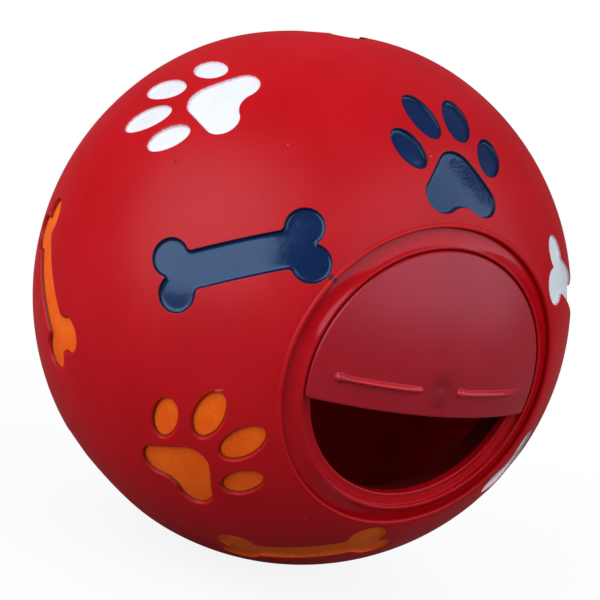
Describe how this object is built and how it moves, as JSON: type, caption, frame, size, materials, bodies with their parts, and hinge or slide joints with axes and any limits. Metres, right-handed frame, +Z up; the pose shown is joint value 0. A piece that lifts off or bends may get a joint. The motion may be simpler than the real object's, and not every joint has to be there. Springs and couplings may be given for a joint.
{
  "type": "treat dispensing ball",
  "caption": "Hollow soft ball with a round port in its side, and a turning half dome shutter that sets how fast treats fall out as the ball rolls.",
  "frame": {"origin": "the point of the floor under the ball, straight below its centre", "axes": "+Z up, -Y the way the treat port looks, +X along the shutter's straight edge to the right of a person who faces the port"},
  "size_m": [0.11, 0.109, 0.11],
  "materials": {
    "soft_vinyl": "satin moulded soft vinyl, red",
    "port_plastic": "glossy injection moulded plastic, red",
    "shutter_plastic": "satin injection moulded plastic, red",
    "blue_paint": "glossy sprayed paint, navy blue",
    "white_paint": "satin sprayed paint, white",
    "orange_paint": "slightly grainy sprayed paint, orange"
  },
  "bodies": {
    "ball": {"ball_shell": "soft_vinyl", "port_insert": "port_plastic", "paint_front_1_paw": "blue_paint", "paint_front_2_bone": "blue_paint", "paint_front_3_paw": "orange_paint", "paint_front_4_bone": "orange_paint", "paint_front_5_paw": "white_paint", "paint_front_6_bone": "white_paint", "paint_middle_1_bone": "blue_paint", "paint_middle_2_paw": "white_paint", "paint_middle_3_bone": "orange_paint", "paint_middle_4_paw": "blue_paint", "paint_middle_5_bone": "white_paint", "paint_middle_6_paw": "orange_paint", "paint_middle_7_bone": "blue_paint", "paint_middle_8_paw": "orange_paint", "paint_back_1_bone": "orange_paint", "paint_back_2_paw": "orange_paint", "paint_back_3_bone": "blue_paint", "paint_back_4_paw": "white_paint", "paint_back_5_bone": "orange_paint", "paint_back_6_paw": "blue_paint"},
    "shutter": {"shutter": "shutter_plastic"}
  },
  "joints": [
    {"name": "shutter_turn", "type": "hinge", "parent": "ball", "child": "shutter", "pos_m": [0, -0.05, 0.055], "axis": [0, -1, 0], "continuous": true}
  ]
}
